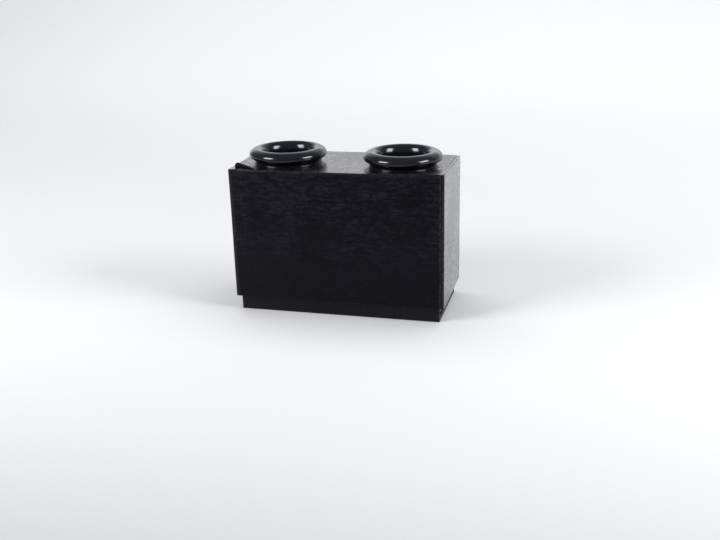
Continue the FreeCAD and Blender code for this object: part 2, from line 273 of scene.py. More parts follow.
def pasteboard():
    """Grey board painted matt black by hand, with fibres and thin spots."""
    m = Material("pasteboard")
    fibre = m.noise(m.scaled((900, 900, 2600)), detail=4.0, rough=0.6)
    brush = m.noise(m.scaled((120, 120, 900)), detail=3.0)
    thin = m.noise(m.scaled((140, 140, 140)), detail=5.0)
    colour = m.mix(brush, (0.010, 0.0095, 0.0095), (0.020, 0.019, 0.018))
    colour = m.mix(m.span(thin, 0.60, 0.72), colour, (0.085, 0.072, 0.058))
    return m.finish(colour, m.span(fibre, 0.3, 0.7, 0.72, 0.88), m.bump(fibre, 0.05 * MM))


def stained_wood(name, light, dark):
    """Thin wood stained black, with its grain along X."""
    m = Material(name)
    swirl = m.noise(m.scaled((40, 40, 40)), colour=True)
    grain = m.noise(m.warped(m.scaled((45, 800, 800)), 1.2, swirl), detail=5.0, rough=0.6)
    pores = m.noise(m.scaled((260, 3800, 3800)), detail=2.0)
    colour = m.mix(m.span(grain, 0.3, 0.7), dark, light)
    height = m.math("ADD", m.math("MULTIPLY", grain, 0.6), m.math("MULTIPLY", pores, 0.4))
    return m.finish(colour, m.span(grain, 0.3, 0.7, 0.55, 0.75), m.bump(height, 0.05 * MM))


def black_paper():
    """Smooth black paper, rubbed shinier in upright streaks where the lens box slides on it."""
    m = Material("black_paper")
    fibre = m.noise(m.scaled((2400, 2400, 1600)), detail=4.0)
    rub = m.noise(m.scaled((700, 700, 22)), detail=3.0)
    patches = m.noise(m.scaled((60, 60, 60)), detail=3.0)
    wear = m.attribute("wear")
    scuff = m.noise(m.scaled((1100, 1100, 1100)), detail=5.0)
    worn = m.math("MULTIPLY", wear, m.span(scuff, 0.4, 0.62))
    colour = m.mix(patches, (0.0040, 0.0034, 0.0052), (0.0080, 0.0068, 0.0088))
    colour = m.mix(m.math("MULTIPLY", m.span(rub, 0.56, 0.72), 0.35), colour, (0.019, 0.017, 0.018))
    colour = m.mix(m.math("MULTIPLY", worn, 0.5), colour, (0.080, 0.068, 0.054))
    rough = m.span(rub, 0.35, 0.7, 0.50, 0.34)
    return m.finish(colour, rough, m.bump(fibre, 0.03 * MM), IOR=1.45, Specular_Tint=(0.3, 0.29, 0.33, 1.0))


def felt_cloth():
    """Black felt."""
    m = Material("felt")
    fuzz = m.noise(m.scaled((3200, 3200, 3200)), detail=5.0, rough=0.7)
    tufts = m.noise(m.scaled((700, 700, 700)), detail=3.0)
    colour = m.mix(fuzz, (0.006, 0.006, 0.007), (0.022, 0.022, 0.024))
    return m.finish(colour, m.span(tufts, 0.3, 0.7, 0.85, 0.98), m.bump(fuzz, 0.12 * MM),
                    Sheen_Weight=0.35)


def old_metal(name, bright, dull, metallic, rough_low, rough_high):
    """Turned metal with tool rings and tarnish."""
    m = Material(name)
    tarnish = m.noise(m.scaled((220, 220, 220)), detail=5.0, rough=0.65)
    rings = m.noise(m.scaled((150, 150, 6000)), detail=2.0)
    colour = m.mix(m.span(tarnish, 0.35, 0.65), bright, dull)
    return m.finish(colour, m.span(tarnish, 0.3, 0.7, rough_low, rough_high),
                    m.bump(rings, 0.01 * MM), Metallic=metallic)


def studio_white():
    """Pale sweep, painted a little whiter far off at the back as painted light, and painted down to grey in
    front of the object as painted shade.
    """
    m = Material("studio_white")
    mottle = m.noise(m.scaled((3, 3, 3)), detail=2.0)
    pale = m.mix(mottle, (0.585, 0.595, 0.605), (0.60, 0.607, 0.615))
    axes = m.node("ShaderNodeSeparateXYZ")
    m.feed(axes.inputs["Vector"], m.place)
    # Painted light: the sweep is painted whiter from 0.10 m to 0.85 m back, so the far backdrop stays bright
    # where the lamps' light falls off.
    painted_far_light = m.span(axes.outputs["Y"], 0.10, 0.85)
    # Painted shade: the floor in front of the object is painted down to grey from 0.06 m to 0.52 m forward, a
    # dark floor standing in for the shade the front faces see.
    painted_front_shade = m.span(axes.outputs["Y"], -0.06, -0.52)
    white = m.mix(painted_far_light, pale, (0.80, 0.812, 0.825))
    return m.finish(m.mix(painted_front_shade, white, (0.10, 0.10, 0.105)), 0.85)


# ---------------------------------------------------------------- mesh helpers

def steps(low, high, spacing):
    """Evenly spaced values from low to high, no further apart than spacing."""
    count = max(1, math.ceil((high - low) / spacing - 1e-6))
    return [low + (high - low) * i / count for i in range(count + 1)]


def lines(*stretches):
    """Grid lines from (low, high, spacing) stretches that meet end to end."""
    found = []
    for low, high, spacing in stretches:
        found += steps(low, high, spacing)[(1 if found else 0):]
    return found


def wobble(point, per_metre, amount, seed=0.0):
    """Smooth unevenness at a point."""
    at = Vector(point) * per_metre + Vector((seed, -seed, seed * 0.5))
    return noise.noise(at) * amount


def grid_mesh(bm, us, vs, place):
    """Quads over a grid, with place(u, v) giving each corner or None where there is no sheet."""
    rows = []
    for u in us:
        row = []
        for v in vs:
            at = place(u, v)
            row.append(None if at is None else bm.verts.new(at))
        rows.append(row)
    for i in range(len(us) - 1):
        for j in range(len(vs) - 1):
            corners = (rows[i][j], rows[i + 1][j], rows[i + 1][j + 1], rows[i][j + 1])
            if None not in corners:
                bm.faces.new(corners)


def new_object(name, bm, materials):
    """Turns a bmesh into a smooth-shaded object in the scene."""
    mesh = bpy.data.meshes.new(name)
    bm.to_mesh(mesh)
    bm.free()
    for material in materials:
        mesh.materials.append(material)
    mesh.shade_smooth()
    made = bpy.data.objects.new(name, mesh)
    bpy.context.scene.collection.objects.link(made)
    return made


def new_piece(name, bm, materials, body, node):
    """Turns a bmesh into a piece that rides a body and stands for a CAD node."""
    piece = new_object(name, bm, materials)
    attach(piece, body)
    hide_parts(node)
    return piece


def thicken(piece, thickness, backing_slot=0):
    """Gives a sheet its thickness on the inside of its outer face."""
    solid = piece.modifiers.new("thickness", "SOLIDIFY")
    solid.thickness = thickness
    solid.offset = -1.0
    solid.use_even_offset = True
    solid.material_offset = backing_slot


def add_wear(piece, share_at):
    """Stores how worn each point is, from 0 to 1, for the materials."""
    wear = piece.data.attributes.new("wear", "FLOAT", "POINT")
    for i, vertex in enumerate(piece.data.vertices):
        wear.data[i].value = min(1.0, max(0.0, share_at(vertex.co)))


def fade(distance, reach):
    """1 at no distance, falling smoothly to 0 at reach."""
    share = min(1.0, max(0.0, 1 - distance / reach))
    return share * share * (3 - 2 * share)


# ---------------------------------------------------------------- coverings

SHEET = 0.26 * MM
TOP_SHEET = 0.8 * SHEET
PANEL_STEP = 0.16 * MM
EDGE_RADIUS = 0.5 * MM
TURNED_IN = 1.3 * MM
TURNED_OVER = 3.0 * MM
UNEVEN_REACH = 4 * MM

# Grid spacings: rounded edges, turned-in strips, near the lifted corner, open faces, turned-over strips
FINE = 0.18 * MM
INNER = 0.4 * MM
CLOSE = 0.45 * MM
GRID = 0.9 * MM
WIDE = 1.2 * MM

# Blunted top corners, by their ways in X and Y: shallow, because a deeper one would bare the boards' corners
BLUNT_REACH = 5.0 * MM
BLUNT_DEPTH = {(1, -1): 0.45 * MM, (1, 1): 0.22 * MM, (-1, 1): 0.22 * MM, (-1, -1): 0.0}

# Settling of the box with age, mostly above one height
SETTLED_FROM = 48 * MM
FLARE_RIGHT = 0.45 * MM
FLARE_LEFT = 0.26 * MM
FLARE_LEFT_TOP = 0.08 * MM
FLARE_REACH = 12 * MM
RISE = 1.0 * MM
RISE_FROM_X = 8 * MM
RISE_TO_X = 52 * MM
RISE_FROM_Y = 4 * MM
FLAT_RADIUS = 18.7 * MM
RISEN_RADIUS = 23.4 * MM


def box_round(point, low, high, radius):
    """Rounds the edges of a box: a point on the sharp box goes to the rounded one."""
    core = Vector(min(max(p, a + radius), b - radius) for p, a, b in zip(point, low, high))
    out = Vector(point) - core
    if out.length < 1e-9:
        return Vector(point)
    return core + out.normalized() * radius


def smooth_share(value, low, high):
    """0 at low, rising smoothly to 1 at high."""
    return 1 - fade(value - low, high - low)


def settled(point):
    """Age: blunted top corners, flared ends, and a front edge risen to its right, clear of the eyecup."""
    ways = (1 if point.x > 0 else -1, 1 if point.y > 0 else -1)
    inset = abs(BOX_X - abs(point.x)) + abs(BOX_Y - abs(point.y)) + abs(BOX_TOP - point.z)
    depth = BLUNT_DEPTH[ways] * fade(inset, BLUNT_REACH)
    point = point - Vector((ways[0], ways[1], 1)).normalized() * depth
    high_up = smooth_share(point.z, SETTLED_FROM, BOX_TOP)
    flare = FLARE_RIGHT if point.x > 0 else FLARE_LEFT + FLARE_LEFT_TOP * high_up
    flare *= smooth_share(abs(point.x), BOX_X - FLARE_REACH, BOX_X)
    rise = RISE * high_up * smooth_share(point.x, RISE_FROM_X, RISE_TO_X)
    rise *= smooth_share(-point.y, -RISE_FROM_Y, BOX_Y)
    rise *= smooth_share((point - EYES["right"]).xy.length, FLAT_RADIUS, RISEN_RADIUS)
    return point + Vector((math.copysign(flare, point.x), 0, rise))


def covering_dents(point, normal):
    """The slight unevenness of cloth glued on board."""
    depth = wobble(point, 55, 0.07 * MM) + wobble(point, 190, 0.025 * MM, 3.0)
    return point + normal * depth


def end_wear(point):
    near_edge = min(abs(BOX_Y - abs(point.y)) + abs(BOX_X - abs(point.x)), abs(BOX_TOP - point.z)
                    + abs(BOX_X - abs(point.x)), abs(point.z - BOX_BOTTOM) * 1.5)
    return 0.7 * fade(near_edge, 0.9 * MM) + 0.05


def end_covering(side, materials):
    """Cloth on one end of the lens box, turned over onto the front, back and top, and in at the bottom."""
    way = SIDES[side]
    low = Vector((-BOX_X, -BOX_Y + PANEL_STEP, BOX_BOTTOM - SHEET))
    high = Vector((BOX_X, BOX_Y - PANEL_STEP, BOX_TOP - PANEL_STEP / 2))
    turned = PANEL_X - TURNED_OVER
    around = high.y + (BOX_X - turned)
    over = high.z + (BOX_X - turned)
    under = low.z - TURNED_IN
    us = lines((-around, -high.y - EDGE_RADIUS, WIDE), (-high.y - EDGE_RADIUS, -high.y + EDGE_RADIUS, FINE),
               (-high.y + EDGE_RADIUS, high.y - EDGE_RADIUS, GRID),
               (high.y - EDGE_RADIUS, high.y + EDGE_RADIUS, FINE), (high.y + EDGE_RADIUS, around, WIDE))
    vs = lines((under, low.z, INNER), (low.z, low.z + EDGE_RADIUS, FINE),
               (low.z + EDGE_RADIUS, high.z - EDGE_RADIUS, GRID),
               (high.z - EDGE_RADIUS, high.z + EDGE_RADIUS, FINE), (high.z + EDGE_RADIUS, over, WIDE))

    def place(u, v):
        past_face = max(0.0, abs(u) - high.y)
        past_top = max(0.0, v - high.z)
        past_bottom = max(0.0, low.z - v)
        if past_face > 0 and past_top > 0:
            return None
        y = min(max(u, low.y), high.y)
        z = min(max(v, low.z), high.z)
        x = way * (BOX_X - past_face - past_top - past_bottom)
        if past_face > 0 and past_bottom > 0:
            x = way * (BOX_X - max(past_face, past_bottom))
        point = settled(box_round(Vector((x, y, z)), low, high, EDGE_RADIUS))
        if past_face == past_top == past_bottom == 0:
            return covering_dents(point, Vector((way, 0, 0)))
        return point

    bm = bmesh.new()
    grid_mesh(bm, us, vs, place)
    bmesh.ops.remove_doubles(bm, verts=bm.verts, dist=0.002 * MM)
    bmesh.ops.recalc_face_normals(bm, faces=bm.faces)
    face = max(bm.faces, key=lambda f: way * f.calc_center_median().x)
    if face.normal.x * way < 0:
        bmesh.ops.reverse_faces(bm, faces=bm.faces)
    piece = new_piece(f"{side}_cloth", bm, materials, LENS_BOX, f"{side}_covering")
    add_wear(piece, end_wear)
    thicken(piece, SHEET)


def panel_corner(u, v, half, high, radius):
    """Rounds the two upper corners of a flat panel, as cut with scissors."""
    du = abs(u) - (half - radius)
    dv = v - (high - radius)
    if du <= 0 or dv <= 0:
        return u, v
    share = max(du, dv) / math.hypot(du, dv)
    return math.copysign(half - radius + du * share, u), high - radius + dv * share


def face_covering(face, materials):
    """Cloth panel on the front or back, cut a little short of the edges, turned in at the bottom."""
    way = FACES[face]
    corner = 1.7 * MM
    us = lines((-PANEL_X, -PANEL_X + corner, FINE), (-PANEL_X + corner, PANEL_X - corner, GRID),
               (PANEL_X - corner, PANEL_X, FINE))
    bottom = BOX_BOTTOM - SHEET
    vs = lines((bottom - TURNED_IN, bottom, INNER), (bottom, bottom + EDGE_RADIUS, FINE),
               (bottom + EDGE_RADIUS, PANEL_TOP - corner, GRID), (PANEL_TOP - corner, PANEL_TOP, FINE))
    low = Vector((-1, -BOX_Y, bottom))
    high = Vector((1, BOX_Y, 1))

    def place(u, v):
        past_bottom = max(0.0, bottom - v)
        flat_u, flat_v = panel_corner(u, v, PANEL_X, PANEL_TOP, corner)
        edge_share = fade(PANEL_X - abs(u), UNEVEN_REACH)
        flat_u += math.copysign(edge_share, u) * wobble((u, way, v), 120, 0.22 * MM)
        top_share = fade(PANEL_TOP - v, UNEVEN_REACH)
        flat_v += top_share * wobble((u, way, 0), 90, 0.25 * MM, 7.0)
        y = way * (BOX_Y - past_bottom)
        point = settled(box_round(Vector((flat_u, y, max(flat_v, bottom))), low, high, EDGE_RADIUS))
        if past_bottom > 0:
            return point
        return covering_dents(point, Vector((0, way, 0)))

    bm = bmesh.new()
    grid_mesh(bm, us, vs, place)
    bmesh.ops.recalc_face_normals(bm, faces=bm.faces)
    middle = min(bm.faces, key=lambda f: (f.calc_center_median() - Vector((0, way * BOX_Y, 40 * MM))).length)
    if middle.normal.y * way < 0:
        bmesh.ops.reverse_faces(bm, faces=bm.faces)
    piece = new_piece(f"{face}_cloth", bm, materials, LENS_BOX, f"{face}_covering")

    def wear_at(point):
        side_edge = (0.8 if point.x > 0 else 0.1) * fade(PANEL_X - abs(point.x), 0.5 * MM)
        return side_edge + 0.35 * fade(min(PANEL_TOP - point.z, (point.z - bottom) * 1.5), 0.6 * MM) + 0.05

    add_wear(piece, wear_at)
    thicken(piece, SHEET)


EYE_HOLE = 15.0 * MM
EYE_HOLE_REACH = 1.5 * MM

# The lifted corner: where its crease ends, and how the cloth beyond the crease curls up
CREASE_RIGHT = (14.5 * MM, 0.0)
CREASE_LEFT = (0.0, 6.8 * MM)
TORN_LENGTH = 17.5 * MM
LIFT_ZONE = (15 * MM, 13 * MM)
CURL_SMALL = 0.35 * MM
CURL_LARGE = 1.35 * MM
CURL_TURN = math.radians(215)
CURL_EASING = 0.25
CURL_TIGHTENING = 0.045
CURL_FLATTENING = 0.92
FRONT_MARGIN = 0.15 * MM


def lifted_corner(u, v, left, front):
    """Where a point of the top sheet goes, if it lies on the lifted front left corner, else None."""
    start = Vector((left + CREASE_RIGHT[0], front + CREASE_RIGHT[1]))
    end = Vector((left + CREASE_LEFT[0], front + CREASE_LEFT[1]))
    crease = (end - start).normalized()
    outward = Vector((-crease.y, crease.x))
    if outward.dot(Vector((left, front)) - start) < 0:
        outward = -outward
    at = Vector((u, v))
    beyond = (at - start).dot(outward)
    if beyond <= 0:
        return None
    along = (at - start).dot(crease)
    share = min(1.0, max(0.0, along / (end - start).length))
    radius = CURL_SMALL + (CURL_LARGE - CURL_SMALL) * share
    turn = min(beyond / radius, CURL_TURN + CURL_EASING * (beyond / radius - CURL_TURN))
    spiral = radius * (1 - CURL_TIGHTENING * turn)
    foot = start + crease * along
    flat = foot + outward * (spiral * math.sin(turn))
    lift = radius - spiral * math.cos(turn)
    return Vector((flat.x, max(flat.y, FRONT_MARGIN - BOX_Y), BOX_TOP + lift * CURL_FLATTENING))


def top_covering(materials):
    """Cloth on the top, turned down over the front and back edges, with its front left corner lifted."""
    down = 0.85 * MM
    low = Vector((-1, -BOX_Y + PANEL_STEP / 2, -1))
    high = Vector((1, BOX_Y - PANEL_STEP / 2, BOX_TOP))
    half_x = PANEL_X + 0.25 * MM
    zone_x = -half_x + LIFT_ZONE[0]
    zone_y = low.y + LIFT_ZONE[1]
    us = lines((-half_x, zone_x, CLOSE), (zone_x, half_x, GRID))
    vs = lines((low.y - down, low.y + EDGE_RADIUS, FINE), (low.y + EDGE_RADIUS, zone_y, CLOSE),
               (zone_y, high.y - EDGE_RADIUS, GRID), (high.y - EDGE_RADIUS, high.y + down, FINE))

    def place(u, v):
        if v < low.y and u < TORN_LENGTH - half_x:
            return None
        lifted = lifted_corner(u, v, -half_x, low.y)
        if lifted is not None:
            return lifted
        past = max(0.0, abs(v) - high.y)
        y = min(max(v, low.y), high.y)
        edge_share = fade(half_x - abs(u), UNEVEN_REACH)
        x = u + math.copysign(edge_share, u) * wobble((0.3, v, 0), 110, 0.3 * MM)
        point = settled(box_round(Vector((x, y, BOX_TOP - past)), low, high, EDGE_RADIUS))
        if past > 0:
            return point
        return covering_dents(point, Vector((0, 0, 1)))

    bm = bmesh.new()
    grid_mesh(bm, us, vs, place)
    for eye in EYES.values():
        middle = Vector((eye.x, eye.y, BOX_TOP))
        inside = [f for f in bm.faces if (f.calc_center_median() - middle).length < EYE_HOLE]
        bmesh.ops.delete(bm, geom=inside, context="FACES")
        for vertex in bm.verts:
            flat = Vector((vertex.co.x - eye.x, vertex.co.y - eye.y))
            if vertex.is_boundary and flat.length < EYE_HOLE + EYE_HOLE_REACH:
                flat = flat.normalized() * EYE_HOLE
                vertex.co.x = eye.x + flat.x
                vertex.co.y = eye.y + flat.y
    bmesh.ops.recalc_face_normals(bm, faces=bm.faces)
    middle = min(bm.faces, key=lambda f: (f.calc_center_median() - Vector((0, 0, BOX_TOP))).length)
    if middle.normal.z < 0:
        bmesh.ops.reverse_faces(bm, faces=bm.faces)
    piece = new_piece("top_cloth", bm, materials, LENS_BOX, "top_covering")

    def wear_at(point):
        near_edge = abs(BOX_Y - abs(point.y)) + 0.6 * abs(BOX_TOP - point.z)
        return 0.9 * fade(near_edge, 0.7 * MM) + 0.3 * fade(half_x - abs(point.x), 0.5 * MM) + 0.05

    add_wear(piece, wear_at)
    thicken(piece, TOP_SHEET, backing_slot=1)


# ---------------------------------------------------------------- turned pieces

def arc_points(start, middle, end, count):
    """Points along the circular arc through three points, the last one left out."""
    ax, ay = start
    bx, by = middle
    cx, cy = end
    d = 2 * (ax * (by - cy) + bx * (cy - ay) + cx * (ay - by))
    a_square = ax * ax + ay * ay
    b_square = bx * bx + by * by
    c_square = cx * cx + cy * cy
    ux = (a_square * (by - cy) + b_square * (cy - ay) + c_square * (ay - by)) / d
    uy = (a_square * (cx - bx) + b_square * (ax - cx) + c_square * (bx - ax)) / d
    radius = math.hypot(ax - ux, ay - uy)
    first = math.atan2(ay - uy, ax - ux)
    mid = math.atan2(by - uy, bx - ux)
    last = math.atan2(cy - uy, cx - ux)
    turn = (last - first) % (2 * math.pi)
    if (mid - first) % (2 * math.pi) > turn:
        turn -= 2 * math.pi
    turns = [first + turn * i / count for i in range(count)]
    return [(ux + radius * math.cos(t), uy + radius * math.sin(t)) for t in turns]


def lathe(bm, outline, centre, sides=160, closed=True):
    """Revolves an outline of (radius, height) pairs about an upright axis."""
    rings = []
    for radius, height in outline:
        if radius < 1e-7:
            rings.append([bm.verts.new((centre.x, centre.y, centre.z + height))])
            continue
        ring = []
        for i in range(sides):
            turn = 2 * math.pi * i / sides
            ring.append(bm.verts.new((centre.x + radius * math.cos(turn), centre.y + radius * math.sin(turn),
                                      centre.z + height)))
        rings.append(ring)
    pairs = list(zip(rings, rings[1:]))
    if closed:
        pairs.append((rings[-1], rings[0]))
    for lower, upper in pairs:
        for i in range(sides):
            k = (i + 1) % sides
            if len(lower) == 1:
                bm.faces.new((lower[0], upper[k], upper[i]))
            elif len(upper) == 1:
                bm.faces.new((lower[i], lower[k], upper[0]))
            else:
                bm.faces.new((lower[i], lower[k], upper[k], upper[i]))


# Eyecup section, in millimetres from the top face
FOOT_RADIUS = 18.3
FOOT_HEIGHT = 0.5
NECK_MIDDLE = (18.7, 2.1)
RIM_RADIUS = 20.95
RIM_HEIGHT = 4.6
RIM_ROUNDING = 2.4
RIM_UNDERSIDE_ANGLE = -35.0
CREST_RADIUS = 16.4
CREST_HEIGHT = 7.85
LIP_ROUNDING = 3.1
LIP_END_ANGLE = 152.0
FUNNEL_ROUNDING = 6.5
BOWL_FLOOR = 0.6
BOWL_FILLET = 0.9
THROAT_RADIUS = 11.0
LENS_SEAT = 1.2
LENS_BORE = 12.1
SPIGOT_RADIUS = 14.0
SPIGOT_BREAK = 0.3
THROAT_BREAK = 0.15
SEAT_BREAK = 0.1
LENS_RADIUS = 12.0
LENS_SURFACE = 78.0


def circle_point(centre, radius, angle):
    """A point of a section's round part, by its angle up from the outward direction."""
    turn = math.radians(angle)
    return centre[0] + radius * math.cos(turn), centre[1] + radius * math.sin(turn)


def round_part(centre, radius, start, end, count):
    """Points along part of a circle between two angles, the last one left out."""
    return [circle_point(centre, radius, start + (end - start) * i / count) for i in range(count)]


def rim_outline():
    """The rim, crown, lip and bowl of the section, from under the rim to the throat."""
    edge = (RIM_RADIUS - RIM_ROUNDING, RIM_HEIGHT)
    rise = CREST_HEIGHT - RIM_HEIGHT
    reach = edge[0] - CREST_RADIUS
    crown = (rise ** 2 + reach ** 2 - RIM_ROUNDING ** 2) / (2 * (rise - RIM_ROUNDING))
    crown_angle = math.degrees(math.atan2(crown - rise, reach))
    lip = (CREST_RADIUS, CREST_HEIGHT - LIP_ROUNDING)
    funnel = circle_point(lip, LIP_ROUNDING - FUNNEL_ROUNDING, LIP_END_ANGLE)
    points = round_part(edge, RIM_ROUNDING, RIM_UNDERSIDE_ANGLE, crown_angle, 24)
    points += round_part((CREST_RADIUS, CREST_HEIGHT - crown), crown, crown_angle, 90, 14)
    points += round_part(lip, LIP_ROUNDING, 90, LIP_END_ANGLE, 14)
    points += round_part(funnel, FUNNEL_ROUNDING, LIP_END_ANGLE, 180, 12)
    wall = funnel[0] - FUNNEL_ROUNDING
    points.append((wall, funnel[1]))
    points += round_part((wall - BOWL_FILLET, BOWL_FLOOR + BOWL_FILLET), BOWL_FILLET, 0, -90, 6)
    points.append((wall - BOWL_FILLET, BOWL_FLOOR))
    return points + [(THROAT_RADIUS + THROAT_BREAK, BOWL_FLOOR), (THROAT_RADIUS, BOWL_FLOOR - THROAT_BREAK)]


def eye_centre(side):
    """The eyecup's axis at the height of the top face."""
    return Vector((EYES[side].x, EYES[side].y, BOX_TOP))


def eyecup(side, material):
    """Turned eyecup with a rolled rim, waisted neck, foot bead, bowl and spigot."""
    spigot_bottom = (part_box(f"eyecup_{side}")[0].z - BOX_TOP) / MM
    foot = FOOT_RADIUS - FOOT_HEIGHT / 2
    outline = [(SPIGOT_RADIUS, spigot_bottom + SPIGOT_BREAK), (SPIGOT_RADIUS, 0.0)]
    outline += arc_points((foot, 0.0), (FOOT_RADIUS, FOOT_HEIGHT / 2), (foot, FOOT_HEIGHT), 8)
    rim = rim_outline()
    outline += arc_points((foot, FOOT_HEIGHT), NECK_MIDDLE, rim[0], 14)
    outline += rim
    outline += [(THROAT_RADIUS, SEAT_BREAK - LENS_SEAT), (THROAT_RADIUS + SEAT_BREAK, -LENS_SEAT),
                (LENS_BORE, -LENS_SEAT), (LENS_BORE, spigot_bottom),
                (SPIGOT_RADIUS - SPIGOT_BREAK, spigot_bottom)]
    bm = bmesh.new()
    lathe(bm, [(r * MM, h * MM) for r, h in outline], eye_centre(side))
    bmesh.ops.recalc_face_normals(bm, faces=bm.faces)
    piece = new_piece(f"{side}_eyecup", bm, [material], LENS_BOX, f"eyecup_{side}")
    piece.data.set_sharp_from_angle(angle=math.radians(38))


def lens(side, material):
    """Equal-sided convex lens with a ground edge."""
    low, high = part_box(f"lens_{side}")
    middle = (low.z + high.z) / 2
    half = (high.z - low.z) / 2

    def face_height(radius):
        fall = LENS_SURFACE * MM - math.sqrt((LENS_SURFACE * MM) ** 2 - radius ** 2)
        return half - fall

    radii = [LENS_RADIUS * MM * i / 16 for i in range(17)]
    outline = [(r, -face_height(r)) for r in radii] + [(r, face_height(r)) for r in reversed(radii)]
    bm = bmesh.new()
    centre = eye_centre(side)
    centre.z = middle
    lathe(bm, outline, centre, sides=96, closed=False)
    bmesh.ops.recalc_face_normals(bm, faces=bm.faces)
    piece = new_piece(f"{side}_lens", bm, [material], LENS_BOX, f"lens_{side}")
    piece.data.set_sharp_from_angle(angle=math.radians(30))


# ---------------------------------------------------------------- slide box pieces

def paper_wrap(material):
    """Black paper glued round the slide box, with rounded corners and the slot cut out."""
    low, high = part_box("paper_wrap")
    radius = 0.6 * MM
    sheet = 0.17 * MM
    slot_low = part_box("end_sill_left")[1].z
    slot_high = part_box("inner_left_board")[0].z
    slot_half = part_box("end_sill_left")[1].y
    ys = lines((low.y, low.y + radius, FINE), (low.y + radius, -slot_half, 0.5 * MM),
               (-slot_half, slot_half, 1.5 * MM), (slot_half, high.y - radius, 0.5 * MM),
               (high.y - radius, high.y, FINE))
    xs = lines((low.x, low.x + radius, FINE), (low.x + radius, high.x - radius, 1.5 * MM),
               (high.x - radius, high.x, FINE))
    zs = lines((low.z, slot_low, 0.6 * MM), (slot_low, slot_high, 1.1 * MM), (slot_high, high.z, 1.5 * MM))
    tall_low = Vector((low.x, low.y, -1))
    tall_high = Vector((high.x, high.y, 1))
    bm = bmesh.new()

    def wall(us, spot):
        def place(u, v):
            point = box_round(spot(u, v), tall_low, tall_high, radius)
            out = Vector((point.x / high.x, point.y / high.y, 0))
            return point + out.normalized() * (wobble(point, 60, 0.03 * MM) - 0.03 * MM)
        grid_mesh(bm, us, zs, place)

    for way in (-1, 1):
        wall(xs, lambda u, v, way=way: Vector((u, way * high.y, v)))
        wall(ys, lambda u, v, way=way: Vector((way * high.x, u, v)))
    bmesh.ops.remove_doubles(bm, verts=bm.verts, dist=0.002 * MM)
    cut = [f for f in bm.faces if abs(f.calc_center_median().x) > high.x - 0.3 * MM
           and abs(f.calc_center_median().y) < slot_half and slot_low < f.calc_center_median().z < slot_high]
    bmesh.ops.delete(bm, geom=cut, context="FACES")
    bmesh.ops.recalc_face_normals(bm, faces=bm.faces)
    front = min(bm.faces, key=lambda f: f.calc_center_median().y)
    if front.normal.y > 0:
        bmesh.ops.reverse_faces(bm, faces=bm.faces)
    piece = new_piece("slide_box_paper", bm, [material], SLIDE_BOX, "paper_wrap")

    def wear_at(point):
        corner = abs(high.x - abs(point.x)) + abs(high.y - abs(point.y))
        slot = abs(high.x - abs(point.x)) + min(abs(point.z - slot_low), abs(point.z - slot_high))
        share = fade(corner, 0.9 * MM) * 0.9 + fade(slot, 0.6 * MM) * 0.8
        return share + fade(point.z - low.z, 0.7 * MM) * 0.9

    add_wear(piece, wear_at)
    thicken(piece, sheet)


def felt_strip(name, material):
    """Strip of felt with soft edges and an uneven nap."""
    low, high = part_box(f"felt_{name}")
    size = high - low
    thin = min(range(3), key=lambda i: size[i])
    wide = 1 - thin
    inward = -1 if low[thin] > 0 else 1
    wall = high[thin] if inward < 0 else low[thin]
    us = lines((low[wide], high[wide], 1.0 * MM))
    vs = lines((low.z, high.z, 0.8 * MM))

    def place(u, v):
        edge = min(u - low[wide], high[wide] - u, v - low.z, high.z - v)
        rise = size[thin] * (1 - 0.6 * fade(edge, 0.9 * MM)) - abs(wobble((u, v, wall), 900, 0.10 * MM))
        point = Vector((0, 0, v))
        point[wide] = u
        point[thin] = wall + inward * rise
        return point

    bm = bmesh.new()
    grid_mesh(bm, us, vs, place)
    rim = [e for e in bm.edges if e.is_boundary]
    footing = {}
    for vertex in [v for e in rim for v in e.verts]:
        if vertex not in footing:
            footing[vertex] = bm.verts.new(vertex.co)
            footing[vertex].co[thin] = wall
    for a, b in [e.verts for e in rim]:
        bm.faces.new((a, b, footing[b], footing[a]))
    bmesh.ops.holes_fill(bm, edges=[e for e in bm.edges if e.is_boundary])
    bmesh.ops.recalc_face_normals(bm, faces=bm.faces)
    new_piece(f"{name}_felt", bm, [material], LENS_BOX, f"felt_{name}")


def dress_cad(node, material, bevel=0.0):
    """Gives a carried-over CAD node its material and, where asked, softly broken edges."""
    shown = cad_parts[node]
    shown.data.materials.clear()
    shown.data.materials.append(material)
    if bevel:
        weld = shown.modifiers.new("weld", "WELD")
        weld.merge_threshold = 0.001 * MM
        soft = shown.modifiers.new("soft_edges", "BEVEL")
        soft.width = bevel
        soft.segments = 2
        soft.limit_method = "ANGLE"
        soft.angle_limit = math.radians(40)


# ---------------------------------------------------------------- studio

CAMERA_PLACE = Vector((135.497, -480.400, 190.113)) * MM
CAMERA_YAW = math.radians(-15.068)
CAMERA_PITCH = math.radians(19.075)
CAMERA_ROLL = math.radians(-1.478)
CAMERA_LENS = 47.25
SENSOR = 36.0
SOFTBOX_DISTANCE = 0.95
SOFTBOX_SIZE = 0.42
SOFTBOX_POWER = 7.7


